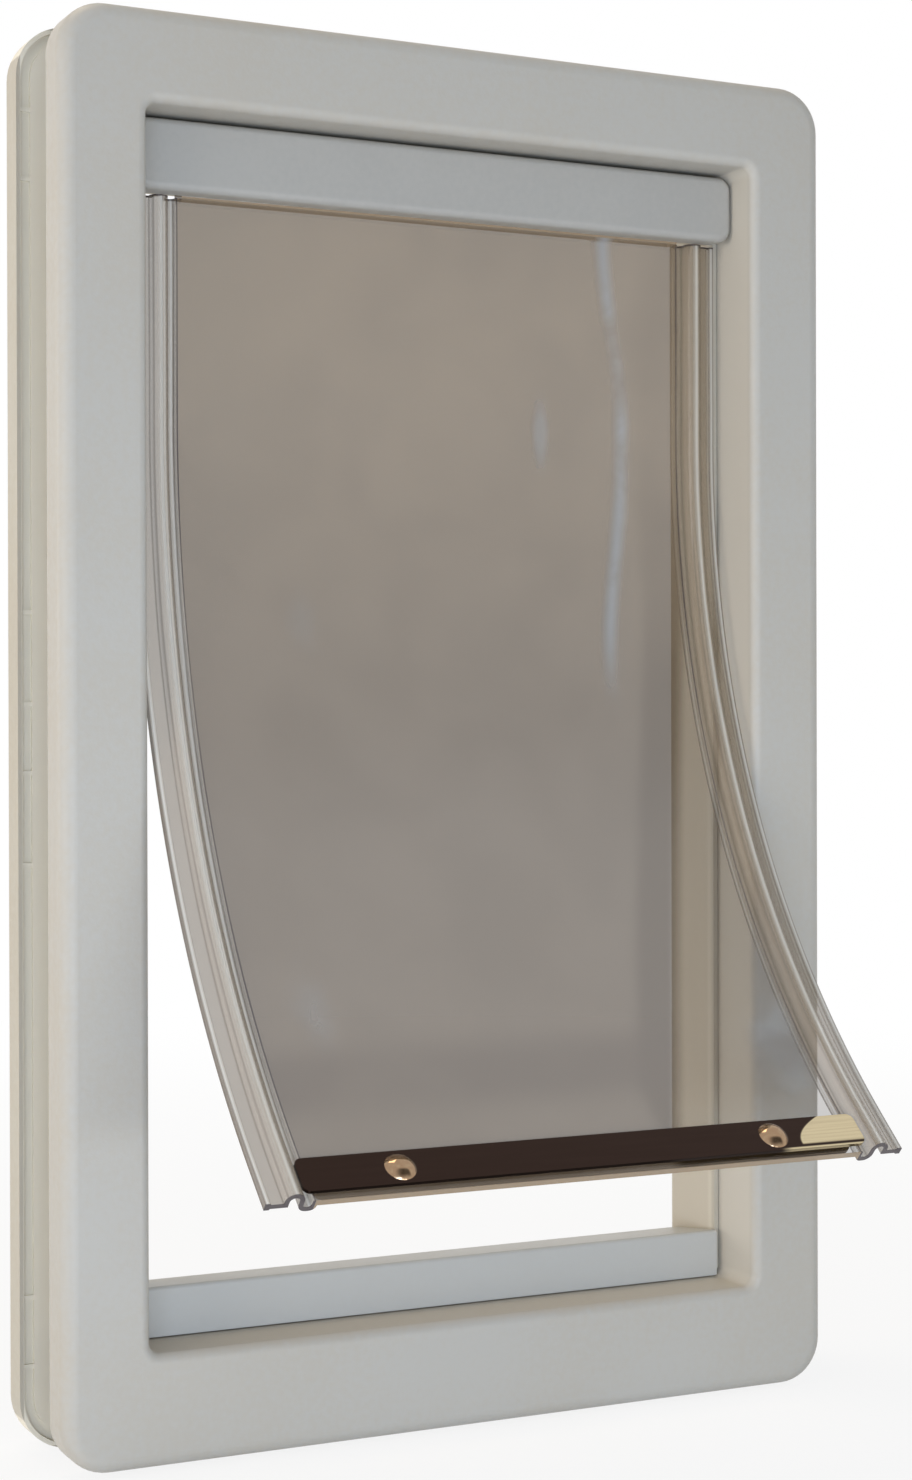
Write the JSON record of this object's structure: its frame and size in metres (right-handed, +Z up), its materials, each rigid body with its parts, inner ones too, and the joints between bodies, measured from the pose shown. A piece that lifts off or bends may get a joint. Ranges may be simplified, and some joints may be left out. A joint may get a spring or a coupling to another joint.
{
  "type": "cat flap",
  "caption": "Cat flap: two telescoping moulded frames clamp through a door and carry a clear vinyl flap with a weighted metal edge.",
  "frame": {"origin": "middle of the rear frame, on the plane where it meets the back of the door", "axes": "+Z up, +Y through the door away from the front room, +X to the right seen from the front"},
  "size_m": [0.2284, 0.1204, 0.3724],
  "materials": {
    "front_frame_plastic": "cream moulded plastic, fine pebble grain",
    "rear_frame_plastic": "cream moulded plastic",
    "bar_plastic": "satin",
    "sill_plastic": "satin",
    "magnet": "dark strip magnet",
    "clear_vinyl": "clear flexible vinyl, slightly smoky",
    "bronze_strip": "dark, polished",
    "brass_rivet": "polished",
    "screw_steel": "plated"
  },
  "bodies": {
    "rear_group": {"rear_frame": "rear_frame_plastic", "header_bar": "bar_plastic", "sill_bar": "sill_plastic", "sill_magnet": "magnet", "clamp_screw_1": "screw_steel", "clamp_screw_2": "screw_steel", "clamp_screw_3": "screw_steel", "frame_screw_1": "screw_steel", "frame_screw_2": "screw_steel", "frame_screw_3": "screw_steel", "frame_screw_4": "screw_steel", "frame_screw_5": "screw_steel", "frame_screw_6": "screw_steel"},
    "front_group": {"front_frame": "front_frame_plastic"},
    "flap_group": {"flap": "clear_vinyl", "weight_strip_front": "bronze_strip", "weight_strip_rear": "bronze_strip", "rivet_left": "brass_rivet", "rivet_right": "brass_rivet"}
  },
  "joints": [
    {"name": "flap_swing", "type": "hinge", "parent": "rear_group", "child": "flap_group", "pos_m": [0, -0.0145, 0.14246], "axis": [-1, 0, 0], "range_deg": [-75, 45]},
    {"name": "frame_telescope", "type": "slide", "parent": "rear_group", "child": "front_group", "axis": [0, -1, 0], "range_m": [-0.004, 0.018]}
  ]
}
